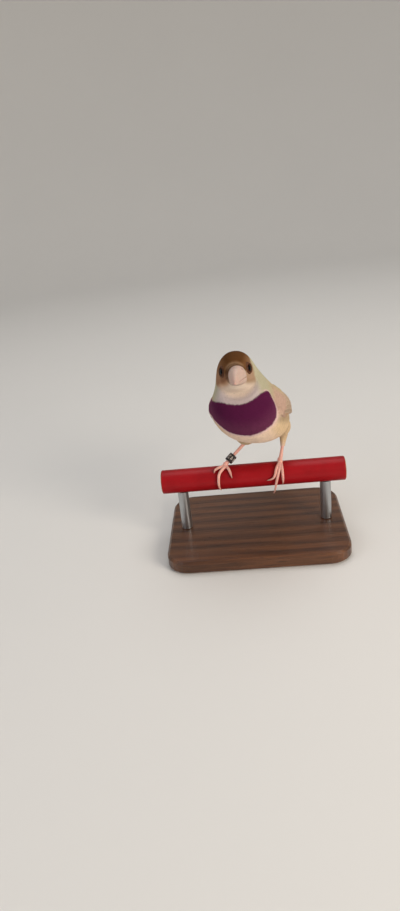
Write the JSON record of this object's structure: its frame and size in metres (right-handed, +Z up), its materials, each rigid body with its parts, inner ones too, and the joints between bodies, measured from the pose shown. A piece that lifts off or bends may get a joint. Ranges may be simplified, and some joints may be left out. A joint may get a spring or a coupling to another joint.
{
  "type": "gouldian finch model on a perch",
  "caption": "Life-size still model of a pale-plumaged Gouldian finch standing on a cut length of round red perch, held by a low display stand.",
  "frame": {"origin": "middle of the underside of the display stand base, straight below the middle of the perch", "axes": "+Z up, the perch runs along X, the bird looks towards -Y and its left side is +X"},
  "size_m": [0.084, 0.1262, 0.0948],
  "materials": {
    "mask": "matt feathers",
    "collar": "matt feathers",
    "plumage": "matt feathers",
    "wing": "matt feathers",
    "tail": "matt feathers",
    "bill": "satin horn",
    "eye": "wet gloss",
    "leg": "matt scaled skin",
    "ring": "black anodised",
    "perch": "semi-gloss red",
    "stand": "dark satin",
    "rod": "brushed"
  },
  "bodies": {
    "root": {"head": "mask", "bill_upper": "bill", "bill_lower": "bill", "eye_left": "eye", "eye_right": "eye", "neck": "collar", "torso": "plumage", "wing_left": "wing", "wing_right": "wing", "tail": "tail", "thigh_left": "plumage", "thigh_right": "plumage", "shank_left": "leg", "shank_right": "leg", "foot_left": "leg", "foot_right": "leg", "leg_ring": "ring", "perch": "perch", "stand_base": "stand", "stand_rod_left": "rod", "stand_rod_right": "rod"}
  },
  "joints": []
}
